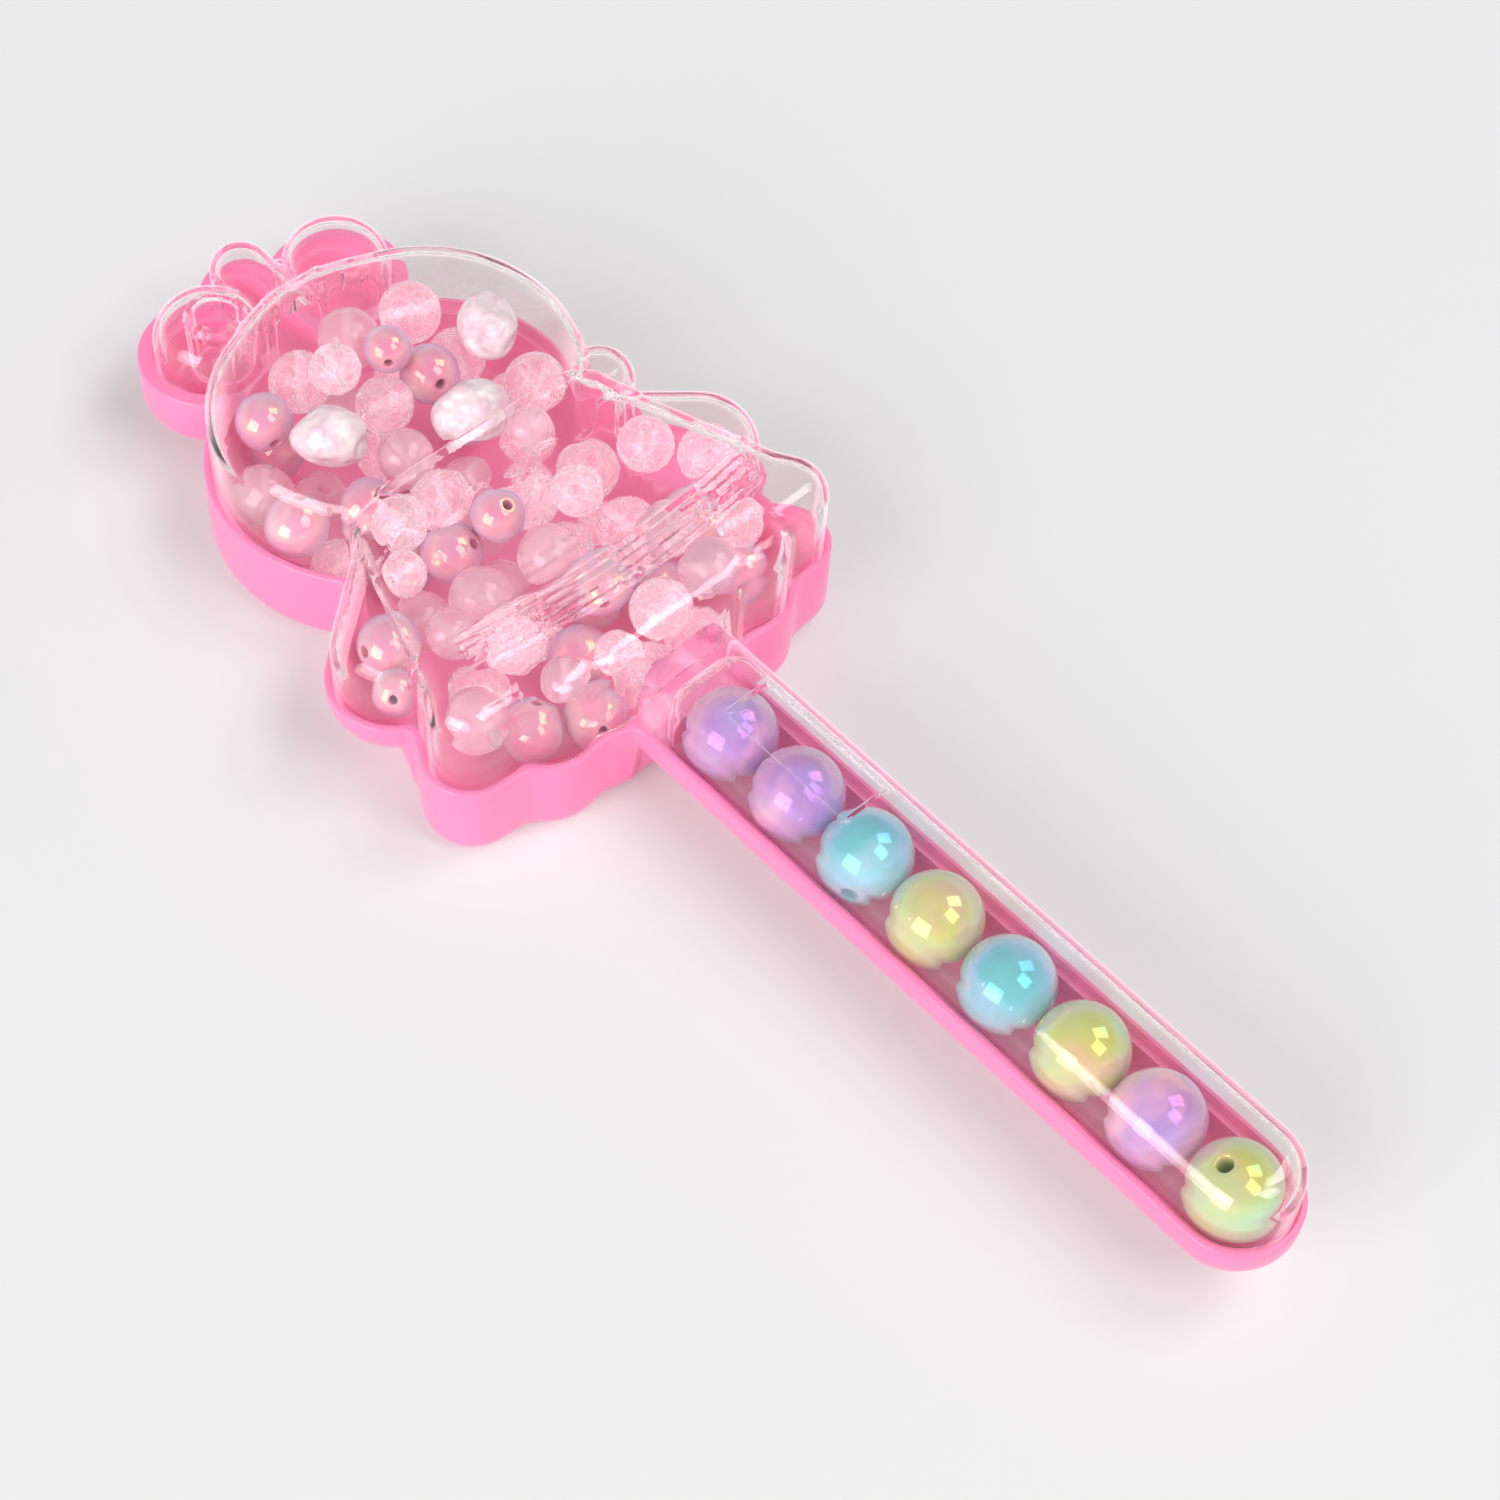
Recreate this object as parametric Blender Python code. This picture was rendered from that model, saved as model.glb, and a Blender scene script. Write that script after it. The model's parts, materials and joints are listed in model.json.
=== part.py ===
"""Bead-filled baby rattle: a tray, a clear cover seated in its rim, and loose beads. +Z is up.

Sizes are in millimetres and become metres when a mesh is made. X runs along the handle with 0 at the
neck, Y runs across and Z is height above the parting plane. make_object moves all this so that the
origin is under the middle of the rattle, on the surface it lies on.
"""

import math

import bmesh
import bpy
import numpy as np
from mathutils import Matrix, Vector

MM = 0.001

# Tray and cover
HEAD_RADIUS = 22.4
HEAD_X = -57.5
HEAD_SPREAD = 4.5  # of the discs that make the head wider than long
HEAD_BULGE = 1.8  # of the head's far end, past those discs
TRAY_DEPTH = 13.0  # under the head and skirt
SLEEVE_DEPTH = 6.8
EAR_DEPTH = 8.8
EAR_HEIGHT = 7.0
EARS = ((-85.6, -9.6, 10.2), (-85.6, 11.6, 9.8))  # x, y, radius
KNOT_RADIUS = 5.9
KNOT_Y = 0.4
KNOT_DEPTH = 8.0
KNOT_REACH = 16.3  # of the knot between the ears, past the head
COVER_HEIGHT = 13.5  # over the head
SKIRT_HEIGHT = 13.0
TRAY_WALL = 2.15
COVER_WALL = 1.15
FLOOR = 1.4
RIM_LEDGE = 1.0  # of the tray's rim, outside the cover
SEAT_DEPTH = 1.0  # of the rebate that the cover stands in
SEAT_GAP = 0.3

# Handle and its row of beads
HANDLE_LENGTH = 100.8
HANDLE_WIDTH = 16.5
HANDLE_DEPTH = 7.5
HANDLE_HEIGHT = 9.0
ROW_COUNT = 8
ROW_BEAD = 11.8
ROW_BORE = 2.0
ROW_GAP = 0.3
ROW_END_PLAY = 0.5  # between the row and each end of its channel

# Bored post in one ear
POST_X, POST_Y = -84.6, -9.2
POST_RADIUS = 4.2
HOLE_RADIUS = 3.0
POST_PROUD = 1.0

# Raised lines on the cover
RIB_WIDTH = 1.1
RIB_HEIGHT = 0.5
COLLAR_X = -42.0
COLLAR_HALF = 16.0
PLEAT_HALF = 19.0
PLEAT_XS = (-16.6, -14.0, -11.4)
PLATE_LENGTH = 21.0
PLATE_WIDTH = 7.4
PLATE_START = 9.2

# Loose fill
FILL_GAP = 0.3
FILL_BORE = 1.5
FILL_SHIFT = 1.0  # how far the bed slides each way
FILL_SEED = 7
NUGGET_STRETCH = 1.2
SETTLE_TURNS = 1000
SETTLE_FALL = 0.003

# Cutters run this far past what they cut, and neighbouring ones end this far apart
OVERRUN = 2.0
STAGGER = 0.02

COLOURS = {
    "tray": ((0.95, 0.33, 0.60, 1), 0.30),
    "clear": ((0.97, 0.93, 0.95, 0.30), 0.05),
    "lilac": ((0.78, 0.55, 0.85, 1), 0.10),
    "aqua": ((0.50, 0.85, 0.86, 1), 0.10),
    "yellow": ((0.92, 0.87, 0.45, 1), 0.10),
    "pink_pearl": ((0.97, 0.55, 0.75, 1), 0.12),
    "crackle": ((0.97, 0.90, 0.93, 0.5), 0.15),
    "rose": ((0.96, 0.70, 0.80, 0.6), 0.08),
    "milky": ((1.0, 0.95, 0.96, 1), 0.35),
}


class Blob:
    """A lobe of the plan: the hull of discs (x, y, radius), with its depth and height at both shells."""

    def __init__(self, discs, depth, height, fillet=3.0, shoulder=4.0, ledge=RIM_LEDGE, sides=24):
        self.discs = discs
        self.depth, self.height = depth, height
        self.fillet, self.shoulder = fillet, shoulder
        self.ledge, self.sides = ledge, sides

    def loop(self, inset):
        """Points of the hull's outline, moved in by inset, anticlockwise."""
        points = []
        for i in range(self.sides):
            angle = 2 * math.pi * (i + 0.5) / self.sides
            nx, ny = math.cos(angle), math.sin(angle)
            x, y, r = max(self.discs, key=lambda d: d[0] * nx + d[1] * ny + d[2])
            points.append((x + (r - inset) * nx, y + (r - inset) * ny))
        return points


def both_sides(x, y, radius):
    return [(x, y, radius), (x, -y, radius)]


def make_blobs():
    """The lobes of the head, ears, sleeves and skirt, and the handle's bar."""
    ear = dict(depth=EAR_DEPTH, height=EAR_HEIGHT, shoulder=4.5, ledge=2.3, sides=22)
    sleeve = dict(depth=SLEEVE_DEPTH, height=10.0, fillet=5.0, shoulder=4.5)
    skirt = dict(depth=TRAY_DEPTH, height=SKIRT_HEIGHT)
    half, knot_x = HANDLE_WIDTH / 2, head_end() + KNOT_RADIUS
    blobs = [
        Blob([(HEAD_X - HEAD_BULGE, 0, HEAD_RADIUS)] + both_sides(HEAD_X, HEAD_SPREAD, HEAD_RADIUS),
             TRAY_DEPTH, COVER_HEIGHT, shoulder=4.6, sides=38),
        Blob([(knot_x, KNOT_Y, KNOT_RADIUS), (knot_x + 12, KNOT_Y, KNOT_RADIUS)], KNOT_DEPTH, 6.5,
             shoulder=3.0, ledge=1.6, sides=16),
        Blob([(-43.4, 22.6, 5.8)], 9.0, 10.5, sides=16),
        Blob(both_sides(-40, 15, 6.5) + both_sides(-14, 24.5, 6.5) + both_sides(-7.6, 9, 6.3),
             sides=32, **skirt),
    ]
    blobs += [Blob([disc], **ear) for disc in EARS]
    for side in (1, -1):
        blobs.append(Blob([(-36.3, side * 18.6, 6.3), (-27.0, side * 25.7, 8.9)], **sleeve))
        blobs.append(Blob([(-11.2, side * 26.5, 6.3), (-11.3, side * 22.5, 6.6)], TRAY_DEPTH,
                          SKIRT_HEIGHT - 0.6, sides=20))
        blobs.append(Blob([(-9.5, side * 16.0, 8.0)], TRAY_DEPTH, SKIRT_HEIGHT - 0.3, sides=20))
    bar = Blob([(-6, 0, half), (HANDLE_LENGTH - half, 0, half)], HANDLE_DEPTH, HANDLE_HEIGHT,
               fillet=5.0, sides=28)
    return blobs, bar


def channel_blob():
    """The hollow of the handle, which ends ROW_END_PLAY past the row of beads."""
    radius = HANDLE_WIDTH / 2 - RIM_LEDGE - COVER_WALL
    corner = 3.6
    start = first_bead_x() - ROW_BEAD / 2 - ROW_END_PLAY
    near = both_sides(start + corner, radius - corner, corner)
    return Blob(near + [(HANDLE_LENGTH - HANDLE_WIDTH / 2, 0, radius)], HANDLE_DEPTH, HANDLE_HEIGHT,
                fillet=4.0, shoulder=4.0, sides=24)


def first_bead_x():
    last = HANDLE_LENGTH - RIM_LEDGE - COVER_WALL - ROW_END_PLAY - ROW_BEAD / 2
    return last - (ROW_COUNT - 1) * (ROW_BEAD + ROW_GAP)


def head_end():
    return HEAD_X - HEAD_BULGE - HEAD_RADIUS - KNOT_REACH


def to_world(x, y, z):
    """From neck coordinates in millimetres to the model's frame in metres."""
    middle = (HANDLE_LENGTH + head_end()) / 2
    return Vector((x - middle, y, z + TRAY_DEPTH)) * MM


def make_material(name):
    colour, roughness = COLOURS[name]
    material = bpy.data.materials.new(name)
    material.use_nodes = True
    shader = material.node_tree.nodes["Principled BSDF"]
    shader.inputs["Base Color"].default_value = (*colour[:3], 1)
    shader.inputs["Roughness"].default_value = roughness
    shader.inputs["Metallic"].default_value = 0.0
    shader.inputs["Alpha"].default_value = colour[3]
    return material


def make_object(name, bm, material, origin=None):
    """A named object from a bmesh in world metres, with its origin at the given point."""
    centre = origin or Vector((0, 0, 0))
    bmesh.ops.translate(bm, verts=bm.verts, vec=-centre)
    bmesh.ops.recalc_face_normals(bm, faces=bm.faces)
    mesh = bpy.data.meshes.new(name)
    bm.to_mesh(mesh)
    bm.free()
    mesh.materials.append(material)
    mesh.shade_smooth()
    mesh.set_sharp_from_angle(angle=math.radians(35))
    thing = bpy.data.objects.new(name, mesh)
    thing.location = centre
    bpy.context.collection.objects.link(thing)
    return thing


def loft(blob, levels):
    """A closed solid through the outline at each (inset, z), from bottom to top."""
    bm = bmesh.new()
    rings = [[bm.verts.new(to_world(x, y, z)) for x, y in blob.loop(inset)] for inset, z in levels]
    for low, high in zip(rings, rings[1:]):
        for i in range(len(low)):
            j = (i + 1) % len(low)
            bm.faces.new((low[i], low[j], high[j], high[i]))
    bm.faces.new(reversed(rings[0]))
    bm.faces.new(rings[-1])
    return bm


def rounded(inset, radius, z_wall, z_end, steps=3):
    """(inset, z) along a wall that rounds over by radius to finish flat at z_end."""
    way = 1 if z_end > z_wall else -1
    levels = [(inset, z_wall)]
    for i in range(steps + 1):
        angle = math.pi / 2 * i / steps
        levels.append((inset + radius * (1 - math.cos(angle)), z_end - way * radius * (1 - math.sin(angle))))
    return levels


def tray_outer(blob):
    """A lobe of the tray, long at both ends; make_tray trims them all level."""
    return loft(blob, [(blob.fillet, -blob.depth - (blob.depth == TRAY_DEPTH))]
                + rounded(0, blob.fillet, OVERRUN, -blob.depth)[::-1])


def tray_hollow(blob, wall, lift):
    return loft(blob, rounded(wall, blob.fillet - FLOOR, OVERRUN, FLOOR - blob.depth + lift)[::-1])


def tray_rebate(blob, lift):
    inset = blob.ledge - SEAT_GAP
    return loft(blob, [(inset, -SEAT_DEPTH - SEAT_GAP - lift), (inset, OVERRUN + lift)])


def cover_outer(blob):
    return loft(blob, rounded(blob.ledge, blob.shoulder, -SEAT_DEPTH - OVERRUN, blob.height))


def cover_hollow(blob, wall, lift):
    top = blob.height - COVER_WALL - lift
    return loft(blob, rounded(wall, blob.shoulder - COVER_WALL, -SEAT_DEPTH - OVERRUN, top))


def staggered(make, blobs, *rest):
    """One cutter per lobe, each ending a hair away from the last so that no two share a plane."""
    return [make(blob, *rest, STAGGER * number) for number, blob in enumerate(blobs)]


def combine(base, tools, operation):
    """base with each tool's solid joined to it or cut from it."""
    for tool in tools:
        modifier = base.modifiers.new("combine", "BOOLEAN")
        modifier.operation = operation
        modifier.solver = "EXACT"
        modifier.object = tool
    bpy.context.view_layer.update()
    evaluated = base.evaluated_get(bpy.context.evaluated_depsgraph_get())
    mesh = bpy.data.meshes.new_from_object(evaluated)
    base.modifiers.clear()
    base.data = mesh
    for tool in tools:
        bpy.data.objects.remove(tool)
    return base


def solids(name, meshes, material):
    return [make_object(f"{name}_{i}", bm, material) for i, bm in enumerate(meshes)]


def cylinder(x, y, radius, z_low, z_high, sides=20):
    return loft(Blob([(x, y, radius)], 0, 0, sides=sides), [(0, z_low), (0, z_high)])


def bar_solid(x0, x1, y0, y1, z_low, z_high):
    """A rectangular block."""
    bm = bmesh.new()
    bmesh.ops.create_cube(bm, size=1)
    low, high = to_world(x0, y0, z_low), to_world(x1, y1, z_high)
    size = high - low
    bmesh.ops.transform(bm, verts=bm.verts, matrix=Matrix.Translation((low + high) / 2)
                        @ Matrix.Diagonal((*size, 1)))
    return bm


def trim(thing, z_low, z_high, material):
    """Cut the piece level at z_low and z_high."""
    far = 400
    slabs = [bar_solid(-far, far, -far, far, -far, z_low), bar_solid(-far, far, -far, far, z_high, far)]
    combine(thing, solids("slab", slabs, material), "DIFFERENCE")


def tray_wall(blob):
    return max(TRAY_WALL, blob.ledge + COVER_WALL)


def make_tray(blobs, bar, channel, material):
    parts = blobs + [bar]
    tray = solids("back_tray", [tray_outer(parts[0])], material)[0]
    combine(tray, solids("outer", [tray_outer(b) for b in parts[1:]], material), "UNION")
    trim(tray, -TRAY_DEPTH, 0, material)
    hollows = [tray_hollow(b, tray_wall(b), STAGGER * i) for i, b in enumerate(blobs)]
    combine(tray, solids("hollow", hollows + [tray_hollow(channel, 0, 0)], material), "DIFFERENCE")
    combine(tray, solids("rebate", staggered(tray_rebate, parts), material), "DIFFERENCE")
    post = cylinder(POST_X, POST_Y, POST_RADIUS, FLOOR / 2 - EAR_DEPTH, -SEAT_DEPTH - 2 * SEAT_GAP)
    combine(tray, solids("post", [post], material), "UNION")
    hole = cylinder(POST_X, POST_Y, HOLE_RADIUS, -EAR_DEPTH - OVERRUN, OVERRUN)
    combine(tray, solids("hole", [hole], material), "DIFFERENCE")
    tray.name = "back_tray"


def make_ribs():
    """Raised lines on the cover: a collar ridge, three pleats and a blank plate on the handle."""
    low, high = SKIRT_HEIGHT - RIB_HEIGHT, SKIRT_HEIGHT + RIB_HEIGHT
    ribs = [bar_solid(COLLAR_X - RIB_WIDTH, COLLAR_X + RIB_WIDTH, -COLLAR_HALF, COLLAR_HALF, low, high)]
    for x in PLEAT_XS:
        ribs.append(bar_solid(x - RIB_WIDTH / 2, x + RIB_WIDTH / 2, -PLEAT_HALF, PLEAT_HALF, low, high))
    ribs.append(bar_solid(PLATE_START, PLATE_START + PLATE_LENGTH, -PLATE_WIDTH / 2, PLATE_WIDTH / 2,
                          HANDLE_HEIGHT - RIB_HEIGHT, HANDLE_HEIGHT + RIB_HEIGHT))
    return ribs


def make_cover(blobs, bar, channel, material):
    parts = blobs + [bar]
    cover = solids("front_cover", [cover_outer(parts[0])], material)[0]
    combine(cover, solids("outer", [cover_outer(b) for b in parts[1:]], material), "UNION")
    trim(cover, -SEAT_DEPTH, COVER_HEIGHT + OVERRUN, material)
    combine(cover, solids("rib", make_ribs(), material), "UNION")
    hollows = [cover_hollow(b, b.ledge + COVER_WALL, STAGGER * i) for i, b in enumerate(blobs)]
    combine(cover, solids("hollow", hollows + [cover_hollow(channel, 0, 0)], material), "DIFFERENCE")
    top = EAR_HEIGHT + POST_PROUD
    post = cylinder(POST_X, POST_Y, POST_RADIUS, -SEAT_DEPTH, top)
    combine(cover, solids("post", [post], material), "UNION")
    hole = cylinder(POST_X, POST_Y, HOLE_RADIUS, -SEAT_DEPTH - OVERRUN, top + OVERRUN)
    combine(cover, solids("hole", [hole], material), "DIFFERENCE")
    cover.name = "front_cover"


def bored_bead(radius, bore, sides, arcs):
    """A ball with a straight hole along its own Z, in metres about its centre."""
    edge = math.asin(bore / radius)
    bm = bmesh.new()
    profile = [edge + (math.pi - 2 * edge) * i / arcs for i in range(arcs + 1)]
    rings = []
    for polar in profile:
        ring_radius, z = radius * math.sin(polar), radius * math.cos(polar)
        rings.append([bm.verts.new(Vector((ring_radius * math.cos(2 * math.pi * s / sides),
                                           ring_radius * math.sin(2 * math.pi * s / sides), z)) * MM)
                      for s in range(sides)])
    for high, low in zip(rings, rings[1:] + rings[:1]):
        for i in range(sides):
            j = (i + 1) % sides
            bm.faces.new((high[i], low[i], low[j], high[j]))
    return bm


def nugget(radius, stretch, rng):
    """A lumpy pebble, longer along X, in metres about its centre."""
    bm = bmesh.new()
    bmesh.ops.create_icosphere(bm, subdivisions=2, radius=radius * MM)
    for vert in bm.verts:
        vert.co = Vector((vert.co.x * stretch, vert.co.y, vert.co.z)) * (1 - 0.14 * rng.random())
    return bm


def turn(bm, rng):
    """The piece turned to a random attitude about its centre."""
    axis = Vector(rng.normal(size=3)).normalized()
    bmesh.ops.rotate(bm, verts=bm.verts, cent=(0, 0, 0), matrix=Matrix.Rotation(rng.random() * 3.1, 3, axis))


def make_row(materials, rng):
    """The eight bored beads, strung out along the handle's channel."""
    centre_z = FLOOR - HANDLE_DEPTH + ROW_BEAD / 2 + FILL_GAP
    colours = ("lilac", "lilac", "aqua", "yellow", "aqua", "yellow", "lilac", "yellow")
    for i in range(ROW_COUNT):
        bm = bored_bead(ROW_BEAD / 2, ROW_BORE / 2, 14, 7)
        turn(bm, rng)
        centre = to_world(first_bead_x() + i * (ROW_BEAD + ROW_GAP), 0, centre_z)
        bmesh.ops.translate(bm, verts=bm.verts, vec=centre)
        make_object(f"handle_bead_{i + 1}", bm, materials[colours[i % len(colours)]], centre)


# Beads that show, as they lie in a bed that rises towards the head: x, y, z, radius, kind
TOP_BEADS = (
    (-74.0, -13.5, 1.0, 4.0, "pink_pearl"), (-62.0, -19.5, -1.5, 4.3, "rose"),
    (-53.5, -18.5, -2.5, 4.2, "pink_pearl"), (-52.0, -9.5, -1.5, 4.2, "pink_pearl"),
    (-63.0, -9.0, 0.0, 5.2, "milky"), (-54.5, 7.5, 1.0, 5.2, "milky"), (-62.0, 23.5, 4.5, 4.6, "milky"),
    (-72.5, -4.0, 2.0, 4.3, "crackle"), (-61.0, 0.5, 1.0, 4.0, "crackle"), (-54.5, -3.0, 0.0, 3.9, "rose"),
    (-74.0, 3.0, 3.5, 4.3, "rose"), (-70.5, 13.0, 4.0, 4.3, "crackle"), (-54.5, 23.0, 3.5, 4.3, "crackle"),
    (-62.5, 13.5, 3.0, 4.2, "pink_pearl"), (-38.0, -7.5, -3.0, 4.2, "pink_pearl"),
    (-14.0, -15.5, -7.5, 4.2, "pink_pearl"), (-9.5, -6.5, -7.0, 4.2, "pink_pearl"),
    (-27.5, 14.0, -1.5, 4.3, "crackle"), (-10.0, 1.5, -5.5, 4.3, "crackle"),
    (-9.0, 10.5, -4.5, 4.3, "crackle"), (-8.0, 22.5, -3.0, 4.2, "pink_pearl"),
    (-30.5, 3.5, -2.5, 4.3, "rose"), (-21.0, 21.0, -1.5, 4.2, "pink_pearl"),
    (-31.5, -23.5, -2.5, 4.2, "pink_pearl"), (-30.5, -7.0, -4.0, 4.3, "rose"),
    (-19.0, -5.0, -5.5, 4.2, "pink_pearl"), (-17.0, 10.0, -3.5, 4.2, "pink_pearl"),
    (-40.0, 6.5, -1.0, 4.3, "crackle"), (-38.0, 17.0, 0.5, 4.3, "crackle"),
    (-45.0, -2.0, -1.5, 4.0, "crackle"), (-20.5, -16.5, -6.5, 4.3, "crackle"),
)
LOWER_KINDS = ("pink_pearl", "rose", "crackle")
LOWER_RADIUS = 4.0
LOWER_PITCH = 11.0
LOWER_Z = -7.3


def lower_beads():
    """Beads on the tray's floor, on a staggered grid under the head and skirt."""
    found = []
    rows = ((-71.0, 3), (-61.0, 3), (-51.0, 4), (-41.5, 3), (-32.0, 2), (-23.0, 2))
    for row, (x, count) in enumerate(rows):
        for i in range(count):
            y = (i - (count - 1) / 2) * LOWER_PITCH
            kind = LOWER_KINDS[(row + i) % len(LOWER_KINDS)]
            found.append((x, y, LOWER_Z, LOWER_RADIUS, kind))
    return found


def wall_pushes(places, radii, blobs):
    """For each ball, its nearest way back inside the lobe that holds it best, and the lobe's number."""
    angles = np.linspace(0, 2 * math.pi, 48, endpoint=False)
    normals = np.stack([np.cos(angles), np.sin(angles)], axis=1)
    best_over = np.full(len(places), np.inf)
    best_push, best_blob = np.zeros((len(places), 2)), np.zeros(len(places), dtype=int)
    for number, blob in enumerate(blobs):
        discs = np.array(blob.discs)
        support = (discs[:, :2] @ normals.T + discs[:, 2:]).max(axis=0)
        inset = tray_wall(blob) + FILL_GAP + FILL_SHIFT * np.abs(normals[:, 0])
        over = places[:, :2] @ normals.T - support + inset + radii[:, None]
        worst = over.argmax(axis=1)
        amount = over[np.arange(len(places)), worst]
        push = -normals[worst] * np.clip(amount, 0, None)[:, None]
        better = amount < best_over
        best_over[better], best_push[better], best_blob[better] = amount[better], push[better], number
    return best_push, best_blob


def settle(beads, blobs):
    """Places for the balls where none meets another, the floor, the cover or a wall."""
    radii = np.array([b[3] * (NUGGET_STRETCH if b[4] == "milky" else 1.0) for b in beads])
    places = np.array([b[:3] for b in beads])
    low = np.array([FLOOR - b.depth + 2 * FILL_GAP for b in blobs])
    high = np.array([b.height - COVER_WALL - 2 * FILL_GAP for b in blobs])
    for turn_number in range(SETTLE_TURNS):
        if turn_number < SETTLE_TURNS / 2:
            places[:, 2] -= SETTLE_FALL
        gaps = places[:, None, :] - places[None, :, :]
        distance = np.linalg.norm(gaps, axis=2) + np.eye(len(places)) * 1e3
        lack = radii[:, None] + radii[None, :] + FILL_GAP + 0.04 - distance
        push = np.where(lack > 0, lack, 0)[:, :, None] * gaps / distance[:, :, None] * 0.5
        places += push.sum(axis=1)
        push, blob = wall_pushes(places, radii, blobs)
        places[:, :2] += push
        places[:, 2] = np.clip(places[:, 2], low[blob] + radii, high[blob] - radii)
    return places


def make_fill(blobs, materials, rng):
    beads = list(TOP_BEADS) + lower_beads()
    places = settle(beads, [b for b in blobs if b.height > EAR_HEIGHT])
    for i, ((*_, radius, kind), place) in enumerate(zip(beads, places)):
        if kind == "milky":
            bm = nugget(radius, NUGGET_STRETCH, rng)
        else:
            bm = bored_bead(radius, FILL_BORE / 2, 10, 5)
        turn(bm, rng)
        centre = to_world(*place)
        bmesh.ops.translate(bm, verts=bm.verts, vec=centre)
        make_object(f"head_bead_{i + 1:02d}", bm, materials[kind], centre)


def main():
    for thing in list(bpy.data.objects):
        bpy.data.objects.remove(thing)
    materials = {name: make_material(name) for name in COLOURS}
    rng = np.random.default_rng(FILL_SEED)
    blobs, bar = make_blobs()
    channel = channel_blob()
    make_tray(blobs, bar, channel, materials["tray"])
    make_cover(blobs, bar, channel, materials["clear"])
    make_row(materials, rng)
    make_fill(blobs, materials, rng)


main()
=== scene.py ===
"""Looks of the bead-filled rattle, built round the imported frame.

Plan sizes are in millimetres, as the moulder draws them: X along the handle with 0 at the neck, Y across
and Z up from the parting plane. place() moves them to the frame, which is in metres.
"""

import json
import math

import bpy
import numpy as np
from mathutils import Matrix, Vector, geometry


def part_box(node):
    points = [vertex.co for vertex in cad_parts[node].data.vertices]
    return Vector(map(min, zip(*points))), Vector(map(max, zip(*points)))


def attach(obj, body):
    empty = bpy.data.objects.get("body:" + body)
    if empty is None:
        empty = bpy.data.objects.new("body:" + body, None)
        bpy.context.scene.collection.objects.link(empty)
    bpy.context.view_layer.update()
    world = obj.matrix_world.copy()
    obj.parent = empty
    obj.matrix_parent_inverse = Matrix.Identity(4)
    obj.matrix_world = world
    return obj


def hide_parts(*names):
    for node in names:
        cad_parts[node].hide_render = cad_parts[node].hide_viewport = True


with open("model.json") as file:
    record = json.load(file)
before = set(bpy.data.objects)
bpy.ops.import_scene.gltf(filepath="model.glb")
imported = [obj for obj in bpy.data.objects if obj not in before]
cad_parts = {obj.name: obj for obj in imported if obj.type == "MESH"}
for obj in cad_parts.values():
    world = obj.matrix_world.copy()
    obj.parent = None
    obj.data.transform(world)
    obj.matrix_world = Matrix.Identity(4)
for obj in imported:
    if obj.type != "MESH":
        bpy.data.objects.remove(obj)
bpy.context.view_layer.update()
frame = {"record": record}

MM = 0.001

# Tray and cover, as moulded
HEAD_X, HEAD_RADIUS, HEAD_SPREAD, HEAD_BULGE = -57.5, 22.4, 4.5, 1.8
KNOT_RADIUS, KNOT_REACH, KNOT_Y = 5.9, 16.3, 0.4
EARS = ((-85.6, -9.6, 10.2), (-85.6, 11.6, 9.8))
HANDLE_LENGTH, HANDLE_WIDTH = 100.8, 16.5
TRAY_DEPTH = 13.0
HANDLE_DEPTH, HANDLE_HEIGHT, HANDLE_SHOULDER = 7.5, 9.0, 4.0
FLOOR = 1.4
TRAY_WALL, COVER_WALL = 2.15, 1.15
LEDGE = 1.0
SEAT_DEPTH, SEAT_GAP = 1.0, 0.3
POST_X, POST_Y, POST_RADIUS, HOLE_RADIUS, POST_TOP, POST_SHOULDER = -84.6, -9.2, 4.2, 3.0, 8.0, 0.6
CHANNEL_CORNER, CHANNEL_FILLET = 3.6, 5.4
ROW_END_PLAY, ROW_GAP, ROW_BEAD, ROW_BORE, ROW_COUNT = 0.5, 0.3, 11.8, 2.0, 8

# How lobes run together, and how finely outlines and surfaces are drawn
BLEND = 1.3  # how far round a joint the outlines run together
SURFACE_BLEND = 0.9
RIM_ROUND, RIM_STEP = 0.35, 0.1
STEEP = 30.0  # rise of a lobe's wall inside a lower lobe, per millimetre
PLAN_LOW, PLAN_HIGH = (-101.0, -36.0), (102.5, 36.0)  # corners of a box round the plan
TRACE_STEP = 0.6
TRACE_SHIFT = (0.0137, 0.0071)  # keeps the grid off the straight stretches of an outline
OUTLINE_SPACING = 0.75
SURFACE_SPACING = 1.1
EDGE_CUTS = 8
EDGE_STEPS = (0.07, 0.28)  # rings just inside an outline
GRID_MARGIN, GRID_GAP = 0.7, 0.8  # of the grid's points, from the outline and from each other
SEED_MARGIN, SEED_GAP = 0.42, 0.16
SHARP_ANGLE = math.radians(50)

DIRECTIONS = np.linspace(0, 2 * math.pi, 128, endpoint=False)
NORMALS = np.stack([np.cos(DIRECTIONS), np.sin(DIRECTIONS)])

HEAD_END = HEAD_X - HEAD_BULGE - HEAD_RADIUS - KNOT_REACH
MIDDLE_X = (HANDLE_LENGTH + HEAD_END) / 2


def place(points):
    """Plan points in millimetres, moved to the frame in metres."""
    return (np.asarray(points) + (-MIDDLE_X, 0, TRAY_DEPTH)) * MM


# ---------------------------------------------------------------- the plan

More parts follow.
